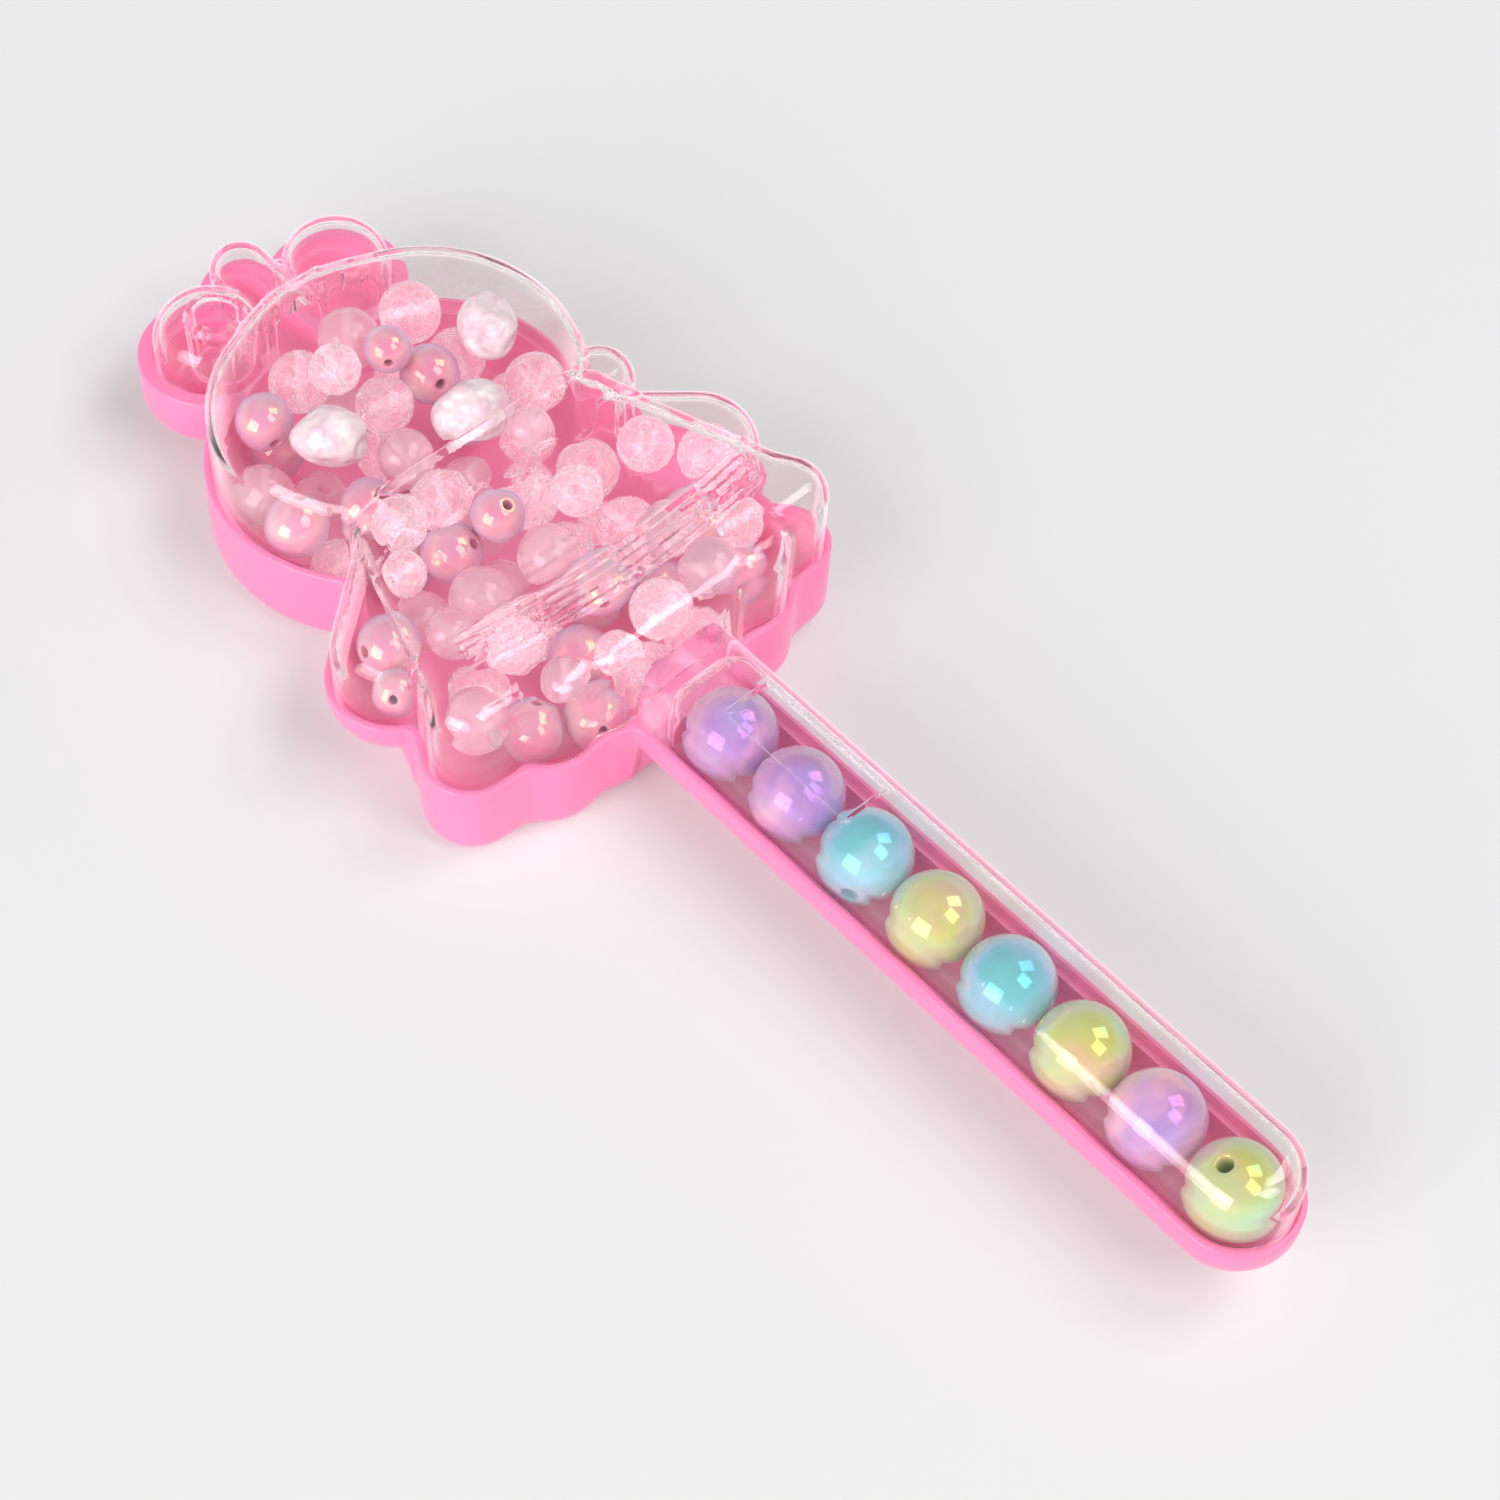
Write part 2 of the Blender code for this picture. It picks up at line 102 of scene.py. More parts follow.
class Lobe:
    """A hull of discs (x, y, radius) in the plan."""

    def __init__(self, *discs):
        self.discs = np.array(discs, dtype=float)
        self.support = (self.discs[:, :2] @ NORMALS + self.discs[:, 2:]).max(axis=0)

    def inset(self, xy):
        """How far each point is inside the lobe's outline."""
        return (self.support - xy @ NORMALS).min(axis=1)

    def loop(self, inset, spacing):
        """Points of the outline moved in by inset, the same number whatever the inset."""
        supports = self.discs[:, :2] @ NORMALS + self.discs[:, 2:]
        best = supports.argmax(axis=0)
        discs = self.discs[best]
        full = discs[:, :2] + discs[:, 2:] * NORMALS.T
        moved = discs[:, :2] + (discs[:, 2:] - inset) * NORMALS.T
        points = []
        for i in range(len(full)):
            j = (i + 1) % len(full)
            cuts = max(1, round(float(np.linalg.norm(full[j] - full[i])) / spacing))
            points += [moved[i] + (moved[j] - moved[i]) * n / cuts for n in range(cuts)]
        return np.array(points)


class Group:
    """Lobes that share one depth and height, with how far their cover stands in from the rim.

    The fillet rounds the tray's lower edge, and the shoulder the cover's upper one.
    """

    def __init__(self, lobes, depth, fillet, height, shoulder, ledge=LEDGE):
        self.lobes = lobes
        self.depth, self.fillet = depth, fillet
        self.height, self.shoulder = height, shoulder
        self.ledge = ledge

    def inset(self, xy):
        found = self.lobes[0].inset(xy)
        for lobe in self.lobes[1:]:
            found = soft_max(found, lobe.inset(xy), BLEND)
        return found


def soft_max(a, b, reach):
    gap = np.clip(reach - np.abs(a - b), 0, None)
    return np.maximum(a, b) + gap * gap / (4 * reach)


def both_sides(x, y, radius):
    return [(x, y, radius), (x, -y, radius)]


def make_plan():
    half = HANDLE_WIDTH / 2
    knot_x = HEAD_END + KNOT_RADIUS
    skirt = [Lobe(*both_sides(-40, 15, 6.5), *both_sides(-14, 24.5, 6.5), *both_sides(-7.6, 9, 6.3))]
    sleeves = []
    for side in (1, -1):
        skirt.append(Lobe((-11.2, side * 26.5, 6.3), (-11.3, side * 22.5, 6.6)))
        skirt.append(Lobe((-9.5, side * 16.0, 8.0)))
        sleeves.append(Lobe((-36.3, side * 18.6, 6.3), (-27.0, side * 25.7, 8.9)))
    head = Lobe((HEAD_X - HEAD_BULGE, 0, HEAD_RADIUS), *both_sides(HEAD_X, HEAD_SPREAD, HEAD_RADIUS))
    knot = Lobe((knot_x, KNOT_Y, KNOT_RADIUS), (knot_x + 12, KNOT_Y, KNOT_RADIUS))
    return {
        "head": Group([head], TRAY_DEPTH, 3.0, 13.5, 4.6),
        "skirt": Group(skirt, TRAY_DEPTH, 3.0, 13.0, 4.0),
        "shoulder": Group([Lobe((-43.4, 22.6, 5.8))], 9.0, 3.0, 10.5, 4.0),
        "sleeves": Group(sleeves, 6.8, 5.0, 10.0, 4.5),
        "ears": Group([Lobe(disc) for disc in EARS], 8.8, 3.0, 7.0, 4.5, ledge=2.3),
        "knot": Group([knot], 8.0, 3.0, 6.5, 3.0, ledge=1.6),
        "bar": Group([Lobe((-6, 0, half), (HANDLE_LENGTH - half, 0, half))], HANDLE_DEPTH, 5.0,
                     HANDLE_HEIGHT, HANDLE_SHOULDER),
    }


def channel_group():
    """The hollow of the handle, in place of the bar moved in."""
    radius = HANDLE_WIDTH / 2 - LEDGE - COVER_WALL
    last = HANDLE_LENGTH - LEDGE - COVER_WALL - ROW_END_PLAY - ROW_BEAD / 2
    start = last - (ROW_COUNT - 1) * (ROW_BEAD + ROW_GAP) - ROW_BEAD / 2 - ROW_END_PLAY
    near = both_sides(start + CHANNEL_CORNER, radius - CHANNEL_CORNER, CHANNEL_CORNER)
    return Group([Lobe(*near, (HANDLE_LENGTH - HANDLE_WIDTH / 2, 0, radius))], HANDLE_DEPTH,
                 CHANNEL_FILLET, HANDLE_HEIGHT, HANDLE_SHOULDER)


class Skin:
    """One side of a shell: a plan region and a height over it, from groups moved in by their insets."""

    def __init__(self, groups, insets, heights, rounds, cut=None, relief=None):
        self.groups, self.insets, self.heights, self.rounds = groups, insets, heights, rounds
        self.cut, self.relief = cut, relief

    def fields(self, xy):
        return np.array([g.inset(xy) - s for g, s in zip(self.groups, self.insets)])

    def edge(self, xy):
        """Positive inside the region, and zero on its outline."""
        found = self.fields(xy)
        total = found[0]
        for other in found[1:]:
            total = soft_max(total, other, BLEND)
        return total if self.cut is None else np.minimum(total, self.cut(xy))

    def height(self, xy):
        found = self.fields(xy)
        total = None
        lift = np.clip(self.edge(xy) - found.max(axis=0), 0, None)
        for inset, high, radius in zip(found + lift, self.heights, self.rounds):
            over = radius - np.clip(inset, None, radius)
            dome = high - radius + np.sqrt(np.clip(radius * radius - over * over, 0, None))
            value = np.where(inset > 0, dome, high - radius + STEEP * inset)
            total = value if total is None else soft_max(total, value, SURFACE_BLEND)
        total = np.minimum(total, max(self.heights))
        return total if self.relief is None else total + self.relief(xy)

    def seeds(self):
        """Plan points that follow each lobe's rounded edge."""
        points = []
        for group, inset, radius in zip(self.groups, self.insets, self.rounds):
            steps = [radius * (1 - math.cos(math.pi / 2 * i / EDGE_CUTS)) for i in range(EDGE_CUTS + 1)]
            for lobe in group.lobes:
                for step in [-0.2, -0.03] + steps:
                    if inset + step < lobe.discs[:, 2].min() - 0.2:
                        points.append(lobe.loop(inset + step, SURFACE_SPACING))
        return np.concatenate(points)


# ---------------------------------------------------------------- outlines and surfaces

def trace(edge):
    """Closed loops where edge is zero, as evenly spaced points with the region on their left."""
    xs = np.arange(PLAN_LOW[0], PLAN_HIGH[0], TRACE_STEP) + TRACE_SHIFT[0]
    ys = np.arange(PLAN_LOW[1], PLAN_HIGH[1], TRACE_STEP) + TRACE_SHIFT[1]
    grid = edge(np.stack(np.meshgrid(xs, ys, indexing="ij"), axis=-1).reshape(-1, 2))
    grid = grid.reshape(len(xs), len(ys))
    inside = grid > 0
    corners = np.stack([inside[:-1, :-1], inside[1:, :-1], inside[1:, 1:], inside[:-1, 1:]])
    mixed = np.argwhere(corners.any(axis=0) & ~corners.all(axis=0))
    follows = {}
    for i, j in mixed:
        ring = ((i, j), (i + 1, j), (i + 1, j + 1), (i, j + 1))
        sides = [(ring[n], ring[(n + 1) % 4]) for n in range(4)]
        exits = [s for s in sides if inside[s[0]] and not inside[s[1]]]
        enters = [s for s in sides if inside[s[1]] and not inside[s[0]]]
        for leave, enter in zip(exits, enters):
            follows[frozenset(leave)] = frozenset(enter)

    def crossing(key):
        a, b = sorted(key)
        t = grid[a] / (grid[a] - grid[b])
        return xs[a[0]] + (xs[b[0]] - xs[a[0]]) * t, ys[a[1]] + (ys[b[1]] - ys[a[1]]) * t

    loops = []
    while follows:
        start, here = follows.popitem()
        points = [crossing(start)]
        while here != start:
            points.append(crossing(here))
            here = follows.pop(here)
        loops.append(even(settle_on(edge, np.array(points)), OUTLINE_SPACING))
    return [settle_on(edge, loop) for loop in loops if len(loop) > 8]


def slope(edge, xy, reach=0.02):
    across, along = np.array((reach, 0)), np.array((0, reach))
    return np.stack([edge(xy + across) - edge(xy - across), edge(xy + along) - edge(xy - along)],
                    axis=1) / (2 * reach)


def settle_on(edge, xy, level=0.0):
    """Points moved onto the line where edge equals level."""
    for _ in range(4):
        rise = slope(edge, xy)
        steep = np.clip((rise ** 2).sum(axis=1), 0.2, None)
        xy = xy - rise * ((edge(xy) - level) / steep)[:, None]
    return xy


def even(points, spacing):
    """The closed loop with points evenly spaced along it."""
    closed = np.concatenate([points, points[:1]])
    along = np.concatenate([[0], np.cumsum(np.linalg.norm(np.diff(closed, axis=0), axis=1))])
    at = np.linspace(0, along[-1], max(12, round(along[-1] / spacing)), endpoint=False)
    return np.stack([np.interp(at, along, closed[:, k]) for k in (0, 1)], axis=1)


class Shell:
    """A closed mesh built up from rings and filled regions, in plan millimetres."""

    def __init__(self):
        self.points, self.faces = [], []

    def add(self, xy, z):
        """New points, as the numbers of their vertices."""
        z = np.broadcast_to(z, len(xy))
        start = sum(len(p) for p in self.points)
        self.points.append(np.column_stack([xy, z]))
        return list(range(start, start + len(xy)))

    def band(self, low, high):
        """Quads between two rings that run the same way; they face right of the way the rings run."""
        for i in range(len(low)):
            j = (i + 1) % len(low)
            self.faces.append((low[i], low[j], high[j], high[i]))

    def fill(self, rings, extra, up):
        """Triangles over the region on the left of the rings, facing up or down."""
        numbers = [n for ring in rings for n in ring] + list(extra)
        everything = np.concatenate(self.points)
        flat = [Vector(everything[n][:2]) for n in numbers]
        edges, start = [], 0
        for ring in rings:
            edges += [(start + i, start + (i + 1) % len(ring)) for i in range(len(ring))]
            start += len(ring)
        made = geometry.delaunay_2d_cdt(flat, edges, [], 0, 1e-7)
        places, triangles, origins = made[0], made[2], made[3]
        old = [o[0] if o else -1 for o in origins]
        triangles = [[old[v] for v in t] for t in triangles if all(old[v] >= 0 for v in t)]
        triangles = [t if turns_left(flat, t) else t[::-1] for t in triangles]
        owner = {(t[i], t[(i + 1) % 3]): n for n, t in enumerate(triangles) for i in range(3)}
        walls = set(edges) | {(b, a) for a, b in edges}
        waiting = [owner[e] for e in edges if e in owner]
        kept = set(waiting)
        while waiting:
            t = triangles[waiting.pop()]
            for i in range(3):
                side = (t[(i + 1) % 3], t[i])
                if side not in walls and side in owner and owner[side] not in kept:
                    kept.add(owner[side])
                    waiting.append(owner[side])
        for n in sorted(kept):
            face = [numbers[v] for v in triangles[n]]
            self.faces.append(face if up else face[::-1])

    def crown(self, skin, loops, bases, up=True, sign=1.0):
        """Walls from each loop's base to the skin's height, and the skin itself. Returns the base rings."""
        bottoms, tops = [], []
        for loop, base in zip(loops, bases):
            rings = [self.add(loop, base), self.add(loop, sign * skin.height(loop))]
            for step in EDGE_STEPS:
                inner = settle_on(skin.edge, loop, step)
                rings.append(self.add(inner, sign * skin.height(inner)))
            for low, high in zip(rings, rings[1:]):
                self.band(*((low, high) if up else (high, low)))
            bottoms.append(rings[0])
            tops.append(rings[-1])
        extra = self.add(*self.inner_points(skin, loops, sign))
        self.fill(tops, extra, up)
        return bottoms

    def round_rim(self, skin, loop, ring):
        """The rim's outer edge rounded from its wall to the parting plane, as the last ring's numbers."""
        for inset, drop in ((RIM_STEP, RIM_STEP), (RIM_ROUND, 0.0)):
            higher = self.add(settle_on(skin.edge, loop, inset), -drop)
            self.band(ring, higher)
            ring = higher
        return ring

    def inner_points(self, skin, loops, sign):
        """Plan points over the skin and their heights: along its edges and relief first, then a grid."""
        low = np.min([loop.min(axis=0) for loop in loops], axis=0)
        high = np.max([loop.max(axis=0) for loop in loops], axis=0)
        xs, ys = (np.arange(a, b, SURFACE_SPACING) for a, b in zip(low, high))
        grid = np.stack(np.meshgrid(xs, ys, indexing="ij"), axis=-1).reshape(-1, 2)
        grid = grid[skin.edge(grid) > GRID_MARGIN]
        seeds = skin.seeds()
        if skin.relief is not None:
            seeds = np.concatenate([seeds, relief_points()])
        seeds = seeds[skin.edge(seeds) > SEED_MARGIN]
        seen, kept = {}, []
        for group, reach in ((seeds, SEED_GAP), (grid, GRID_GAP)):
            for point in group:
                cell = (int(point[0] // GRID_GAP), int(point[1] // GRID_GAP))
                near = [p for a in (-1, 0, 1) for b in (-1, 0, 1)
                        for p in seen.get((cell[0] + a, cell[1] + b), ())]
                if all((p[0] - point[0]) ** 2 + (p[1] - point[1]) ** 2 > reach * reach for p in near):
                    seen.setdefault(cell, []).append(point)
                    kept.append(point)
        kept = np.array(kept)
        return kept, sign * skin.height(kept)

    def finish(self, name, material):
        return mesh_object(name, place(np.concatenate(self.points)), self.faces, material)


def turns_left(flat, t):
    a, b, c = (flat[v] for v in t)
    return (b.x - a.x) * (c.y - a.y) - (b.y - a.y) * (c.x - a.x) > 0


def mesh_object(name, points, faces, material):
    mesh = bpy.data.meshes.new(name)
    mesh.from_pydata([tuple(p) for p in points], [], faces)
    mesh.materials.append(material)
    return smooth_object(name, mesh)


def smooth_object(name, mesh):
    """An object in the scene whose mesh is smooth up to its sharp edges."""
    mesh.shade_smooth()
    mesh.set_sharp_from_angle(angle=SHARP_ANGLE)
    thing = bpy.data.objects.new(name, mesh)
    bpy.context.collection.objects.link(thing)
    return thing


# ---------------------------------------------------------------- relief of the cover

COLLAR_X, COLLAR_LOW, COLLAR_HIGH = -41.8, -15.0, 17.0
COLLAR_WIDTH, COLLAR_RISE = 0.9, 1.1
CAPE_X, CAPE_WAVE, CAPE_PITCH, CAPE_BOW = -33.6, 1.3, 11.0, 0.004
CAPE_STEP, CAPE_HALF = 0.7, 22
PLEAT_XS = (-16.6, -15.3, -14.0, -12.7, -11.4)
PLEAT_WIDTH, PLEAT_RISE, PLEAT_BOW, PLEAT_HALF = 0.6, 0.5, 0.0035, 23.5
RELIEF_FROM, RELIEF_TO = -48, -3  # X where collar, cape and pleats may start and end
END_FADE = 1.5  # over which a raised line dies out at its ends
LABEL_LOW, LABEL_HIGH = (9.2, -3.5), (30.2, 3.9)
LABEL_LINE, LABEL_RISE = 0.35, 0.35
RELIEF_HALF, RELIEF_SPACING, LABEL_SPACING = 26, 0.8, 0.7  # of the points that draw the raised lines


def bump(distance, width):
    """A rounded ridge across the distance from its line."""
    return np.clip(1 - (distance / width) ** 2, 0, None) ** 1.5


def step_at(distance, width):
    """0 below the line and 1 above it, with a smooth step of this width."""
    return 1 / (1 + np.exp(np.clip(-distance / width * 4, -40, 40)))


def cape_edge(y):
    """X of the cape's wavy lower edge."""
    return CAPE_X - CAPE_BOW * y * y + CAPE_WAVE * np.cos(2 * math.pi * y / CAPE_PITCH)


def pleat_x(x0, y):
    return x0 - PLEAT_BOW * y * y


def cover_relief(xy):
    """Rise of the collar, cape, pleats and label frame over the cover's plain surface."""
    x, y = xy[:, 0], xy[:, 1]
    on_skirt = step_at(x - RELIEF_FROM, 0.5) * step_at(RELIEF_TO - x, 1.0)
    inside = step_at(y - COLLAR_LOW, END_FADE) * step_at(COLLAR_HIGH - y, END_FADE)
    rise = COLLAR_RISE * bump(x - COLLAR_X, COLLAR_WIDTH) * inside
    cape = step_at(x - COLLAR_X, 0.5) * step_at(cape_edge(y) - x, 0.45)
    rise = rise + CAPE_STEP * cape * step_at(CAPE_HALF - np.abs(y), END_FADE)
    for x0 in PLEAT_XS:
        pleat = bump(x - pleat_x(x0, y), PLEAT_WIDTH)
        rise = rise + PLEAT_RISE * pleat * step_at(PLEAT_HALF - np.abs(y), END_FADE)
    outside = np.maximum.reduce([LABEL_LOW[0] - x, x - LABEL_HIGH[0],
                                 LABEL_LOW[1] - y, y - LABEL_HIGH[1]])
    label = LABEL_RISE * bump(outside, LABEL_LINE)
    return rise * on_skirt + label


def relief_points():
    """Plan points close together along the collar, cape, pleats and label frame."""
    points = []
    across = np.arange(-RELIEF_HALF, RELIEF_HALF, RELIEF_SPACING)
    for offset in (-0.9, -0.6, -0.3, 0, 0.3, 0.6, 0.9):
        points += [(COLLAR_X + offset, y) for y in across]
    for offset in (-0.8, -0.5, -0.25, 0, 0.25, 0.5, 0.8):
        points += [(cape_edge(y) + offset, y) for y in across]
    for x0 in PLEAT_XS:
        for offset in (-0.6, -0.3, 0, 0.3, 0.6):
            points += [(pleat_x(x0, y) + offset, y) for y in across]
    for offset in (-0.35, -0.18, 0, 0.18, 0.35):
        for x in np.arange(LABEL_LOW[0], LABEL_HIGH[0], LABEL_SPACING):
            points += [(x, LABEL_LOW[1] - offset), (x, LABEL_HIGH[1] + offset)]
        for y in np.arange(LABEL_LOW[1], LABEL_HIGH[1], LABEL_SPACING):
            points += [(LABEL_LOW[0] - offset, y), (LABEL_HIGH[0] + offset, y)]
    return np.array(points)


# ---------------------------------------------------------------- the two shells

def from_post(xy):
    return np.hypot(xy[:, 0] - POST_X, xy[:, 1] - POST_Y)


def make_shells(plan, materials):
    """The clear cover, standing in the tray's seat, and the tray, both bored through at the ear's post."""
    groups = list(plan.values())
    hollow = groups[:-1] + [channel_group()]

    def outside_hole(xy):
        return from_post(xy) - HOLE_RADIUS

    def outside_post(xy):
        return from_post(xy) - POST_RADIUS

    post = Group([Lobe((POST_X, POST_Y, POST_RADIUS))], None, None, POST_TOP, POST_SHOULDER, ledge=0.0)
    walls = [g.ledge + COVER_WALL for g in hollow[:-1]] + [0.0]
    capped = groups + [post]
    cover_out = Skin(capped, [g.ledge for g in capped], [g.height for g in capped],
                     [g.shoulder for g in capped], cut=outside_hole, relief=cover_relief)
    cover_in = Skin(hollow, walls, [g.height - COVER_WALL for g in hollow],
                    [g.shoulder - COVER_WALL for g in hollow], cut=outside_post)
    cover = Shell()
    outer_loops, inner_loops = trace(cover_out.edge), trace(cover_in.edge)
    outer = cover.crown(cover_out, outer_loops, [-SEAT_DEPTH] * len(outer_loops))
    inner = cover.crown(cover_in, inner_loops, [-SEAT_DEPTH] * len(inner_loops), up=False)
    cover.fill(outer + [ring[::-1] for ring in inner], [], up=False)
    show(cover.finish("clear_cover", materials["clear"]), "shell", "clear", "front_cover")

    tray_walls = [max(TRAY_WALL, g.ledge + COVER_WALL) for g in hollow[:-1]] + [0.0]
    tray_out = Skin(groups, [0.0] * len(groups), [g.depth for g in groups], [g.fillet for g in groups],
                    cut=outside_hole)
    tray_in = Skin(hollow, tray_walls, [g.depth - FLOOR for g in hollow],
                   [g.fillet - FLOOR for g in hollow], cut=outside_post)
    seat = Skin(groups, [g.ledge - SEAT_GAP for g in groups], None, None)
    seat_floor, post_top = -SEAT_DEPTH - SEAT_GAP, -SEAT_DEPTH - 2 * SEAT_GAP
    tray = Shell()
    outer_loops, inner_loops = trace(tray_out.edge), trace(tray_in.edge)
    outer_bases = [post_top if at_post(loop) else -RIM_ROUND for loop in outer_loops]
    inner_bases = [post_top if at_post(loop) else seat_floor for loop in inner_loops]
    outer = tray.crown(tray_out, outer_loops, outer_bases, up=False, sign=-1.0)
    inner = tray.crown(tray_in, inner_loops, inner_bases, sign=-1.0)
    rims = [tray.round_rim(tray_out, loop, ring) for loop, ring in zip(outer_loops, outer)
            if not at_post(loop)]
    seat_loops = trace(seat.edge)
    ledge_edge = [tray.add(loop, 0.0) for loop in seat_loops]
    seat_edge = [tray.add(loop, seat_floor) for loop in seat_loops]
    for top, bottom in zip(ledge_edge, seat_edge):
        tray.band(top, bottom)
    tray.fill(rims + [ring[::-1] for ring in ledge_edge], [], up=True)
    walls_in = [ring for loop, ring in zip(inner_loops, inner) if not at_post(loop)]
    tray.fill(seat_edge + [ring[::-1] for ring in walls_in], [], up=True)
    post_side = [ring[::-1] for loop, ring in zip(inner_loops, inner) if at_post(loop)]
    bore_side = [ring for loop, ring in zip(outer_loops, outer) if at_post(loop)]
    tray.fill(post_side + bore_side, [], up=True)
    show(tray.finish("tray_shell", materials["tray"]), "shell", "tray", "back_tray")


def at_post(loop):
    return from_post(loop).max() < 2 * POST_RADIUS


def show(piece, body, slot, *nodes):
    """Sets what a finished piece rides on and hides the nodes it stands for; slot, the finish it takes, is
    not used.
    """
    if nodes:
        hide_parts(*nodes)
    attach(piece, body)


# ---------------------------------------------------------------- shader groups

WHITE = (1, 1, 1, 1)


def new_group(name, inputs, outputs):
    """A shader group with its two end nodes: inputs are (name, type, default)."""
    tree = bpy.data.node_groups.new(name, "ShaderNodeTree")
    for label, kind, default in inputs:
        socket = tree.interface.new_socket(label, in_out="INPUT", socket_type="NodeSocket" + kind)
        if default is not None:
            socket.default_value = default
    for label, kind in outputs:
        tree.interface.new_socket(label, in_out="OUTPUT", socket_type="NodeSocket" + kind)
    return tree, tree.nodes.new("NodeGroupInput"), tree.nodes.new("NodeGroupOutput")


def node(tree, kind, inputs=None, **settings):
    """A new node with settings, and its inputs set or linked by name or number."""
    made = tree.nodes.new("ShaderNode" + kind)
    for name, value in settings.items():
        setattr(made, name, value)
    fit(tree, made, inputs or {})
    return made


def fit(tree, made, inputs):
    """Sets a node's inputs to plain values, or links them to sockets."""
    for key, value in inputs.items():
        if isinstance(value, bpy.types.NodeSocket):
            tree.links.new(value, made.inputs[key])
        else:
            made.inputs[key].default_value = value


def blend_colours(tree, mask, a, b):
    """The colour socket that goes from a to b with the mask."""
    return node(tree, "Mix", {0: mask, 6: a, 7: b}, data_type="RGBA").outputs[2]


def multiply_add(tree, value, factor, added):
    """The socket of value times factor plus added."""
    return node(tree, "Math", {0: value, 1: factor, 2: added}, operation="MULTIPLY_ADD").outputs[0]


def moulded_group():
    """Injection-moulded plastic: faint flow in the colour and a soft waviness in the gloss."""
    tree, given, out = new_group(
        "moulded_plastic",
        [("Colour", "Color", WHITE), ("Deep", "Color", WHITE), ("Roughness", "Float", 0.3),
         ("Flow Scale", "Float", 40.0), ("Grain Scale", "Float", 900.0)],
        [("Colour", "Color"), ("Roughness", "Float"), ("Height", "Float")])
    where = node(tree, "TexCoord").outputs["Object"]
    flow = node(tree, "TexNoise", {"Vector": where, "Scale": given.outputs["Flow Scale"], "Detail": 3.0})
    grain = node(tree, "TexNoise", {"Vector": where, "Scale": given.outputs["Grain Scale"], "Detail": 2.0})
    share = node(tree, "MapRange", {"Value": flow.outputs["Fac"], "From Min": 0.35, "From Max": 0.65})
    colour = blend_colours(tree, share.outputs[0], given.outputs["Colour"], given.outputs["Deep"])
    fit(tree, out, {
        "Colour": colour,
        "Roughness": multiply_add(tree, flow.outputs["Fac"], 0.08, given.outputs["Roughness"]),
        "Height": multiply_add(tree, grain.outputs["Fac"], 0.08, flow.outputs["Fac"])})
    return tree


def pearl_group():
    """Pearly lacquer: three pastel tints that drift into each other over a bead."""
    tree, given, out = new_group(
        "pearl_lacquer",
        [("Colour", "Color", WHITE), ("Warm", "Color", WHITE), ("Cool", "Color", WHITE),
         ("Scale", "Float", 110.0), ("Roughness", "Float", 0.12)],
        [("Colour", "Color"), ("Roughness", "Float"), ("Height", "Float")])
    where = node(tree, "TexCoord").outputs["Object"]
    drift = node(tree, "TexNoise", {"Vector": where, "Scale": given.outputs["Scale"], "Detail": 2.0,
                                    "Distortion": 1.2})
    other = node(tree, "TexNoise", {"Vector": where, "W": 3.7, "Scale": given.outputs["Scale"],
                                    "Detail": 1.0}, noise_dimensions="4D")
    warm = node(tree, "MapRange", {"Value": drift.outputs["Fac"], "From Min": 0.45, "From Max": 0.68})
    cool = node(tree, "MapRange", {"Value": other.outputs["Fac"], "From Min": 0.48, "From Max": 0.70})
    first = blend_colours(tree, warm.outputs[0], given.outputs["Colour"], given.outputs["Warm"])
    fit(tree, out, {
        "Colour": blend_colours(tree, cool.outputs[0], first, given.outputs["Cool"]),
        "Roughness": multiply_add(tree, drift.outputs["Fac"], 0.03, given.outputs["Roughness"]),
        "Height": other.outputs["Fac"]})
    return tree


def crackle_group():
    """Crackled clear plastic: a net of fine cracks, as a mask and a height."""
    tree, given, out = new_group("crackle", [("Scale", "Float", 420.0), ("Width", "Float", 0.08)],
                                 [("Cracks", "Float"), ("Height", "Float")])
    where = node(tree, "TexCoord").outputs["Object"]
    wander = node(tree, "TexNoise", {"Vector": where, "Scale": 250.0, "Detail": 2.0})
    moved = node(tree, "VectorMath", {0: wander.outputs["Color"], 1: (0.004, 0.004, 0.004), 2: where},
                 operation="MULTIPLY_ADD")
    cells = node(tree, "TexVoronoi", {"Vector": moved.outputs[0], "Scale": given.outputs["Scale"]},
                 feature="DISTANCE_TO_EDGE")
    thin = node(tree, "MapRange", {"Value": cells.outputs["Distance"], "From Min": 0.0,
                                   "From Max": given.outputs["Width"], "To Min": 1.0, "To Max": 0.0})
    fit(tree, out, {"Cracks": thin.outputs[0], "Height": cells.outputs["Distance"]})
    return tree


# ---------------------------------------------------------------- materials

def new_material(name):
    material = bpy.data.materials.new(name)
    material.use_nodes = True
    tree = material.node_tree
    return material, tree, tree.nodes["Principled BSDF"]


def place_group(tree, group, values):
    return node(tree, "Group", values, node_tree=group)


def add_bump(tree, shader, height, distance):
    made = node(tree, "Bump", {"Height": height, "Distance": distance, "Strength": 1.0})
    fit(tree, shader, {"Normal": made.outputs["Normal"]})


def painted_glow(tree, shader, colour, strength):
    """Painted glow: emission in the plastic's own colour, which lifts its shaded parts though no lamp is
    there.
    """
    fit(tree, shader, {"Emission Color": colour, "Emission Strength": strength})


